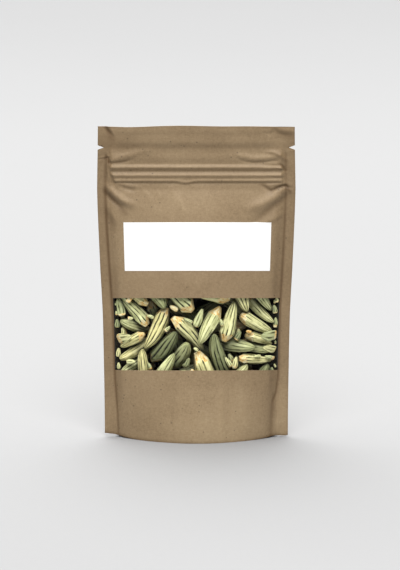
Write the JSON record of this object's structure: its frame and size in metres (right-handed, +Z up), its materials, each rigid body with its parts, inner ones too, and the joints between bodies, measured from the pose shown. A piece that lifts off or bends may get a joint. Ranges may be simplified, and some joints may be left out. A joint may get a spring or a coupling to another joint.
{
  "type": "filled stand-up pouch",
  "caption": "Kraft paper stand-up pouch with a press-to-close zip, blank white label, tear notches and a clear window low on its front, filled with dried okra pods.",
  "frame": {"origin": "middle of the footprint, on the surface that the pouch stands on, in the plane of the side seals", "axes": "+Z up, from the foot to the sealed top edge; the front with the label and window faces -Y; X runs from side seal to side seal"},
  "size_m": [0.16, 0.0478, 0.26],
  "materials": {
    "kraft_paper": "natural brown kraft paper, matt, with fine fibres",
    "clear_film": "clear glossy film",
    "label_paper": "white, smooth, satin",
    "zip_plastic": "milky polyethylene",
    "okra": "dried pod, pale green grey ridges and dark olive furrows, cream and orange cut ends, matt"
  },
  "bodies": {
    "root": {"front_panel": "kraft_paper", "back_panel": "kraft_paper", "bottom_gusset": "kraft_paper", "window_film": "clear_film", "label": "label_paper", "zip_track_front": "zip_plastic", "zip_track_back": "zip_plastic", "okra_pod_01": "okra", "okra_pod_02": "okra", "okra_pod_03": "okra", "okra_pod_04": "okra", "okra_pod_05": "okra", "okra_pod_06": "okra", "okra_pod_07": "okra", "okra_pod_08": "okra", "okra_pod_09": "okra", "okra_pod_10": "okra", "okra_pod_11": "okra", "okra_pod_12": "okra", "okra_pod_13": "okra", "okra_pod_14": "okra", "okra_pod_15": "okra", "okra_pod_16": "okra", "okra_pod_17": "okra", "okra_pod_18": "okra", "okra_pod_19": "okra", "okra_pod_20": "okra", "okra_pod_21": "okra", "okra_pod_22": "okra", "okra_pod_23": "okra", "okra_pod_24": "okra", "okra_pod_25": "okra", "okra_pod_26": "okra", "okra_pod_27": "okra", "okra_pod_28": "okra", "okra_pod_29": "okra", "okra_pod_30": "okra", "okra_pod_31": "okra", "okra_pod_32": "okra", "okra_pod_33": "okra", "okra_pod_34": "okra", "okra_pod_35": "okra", "okra_pod_36": "okra", "okra_pod_37": "okra", "okra_pod_38": "okra", "okra_pod_39": "okra", "okra_pod_40": "okra", "okra_pod_41": "okra", "okra_pod_42": "okra", "okra_pod_43": "okra", "okra_pod_44": "okra", "okra_pod_45": "okra", "okra_pod_46": "okra", "okra_pod_47": "okra", "okra_pod_48": "okra", "okra_pod_49": "okra", "okra_pod_50": "okra", "okra_pod_51": "okra", "okra_pod_52": "okra"}
  },
  "joints": []
}
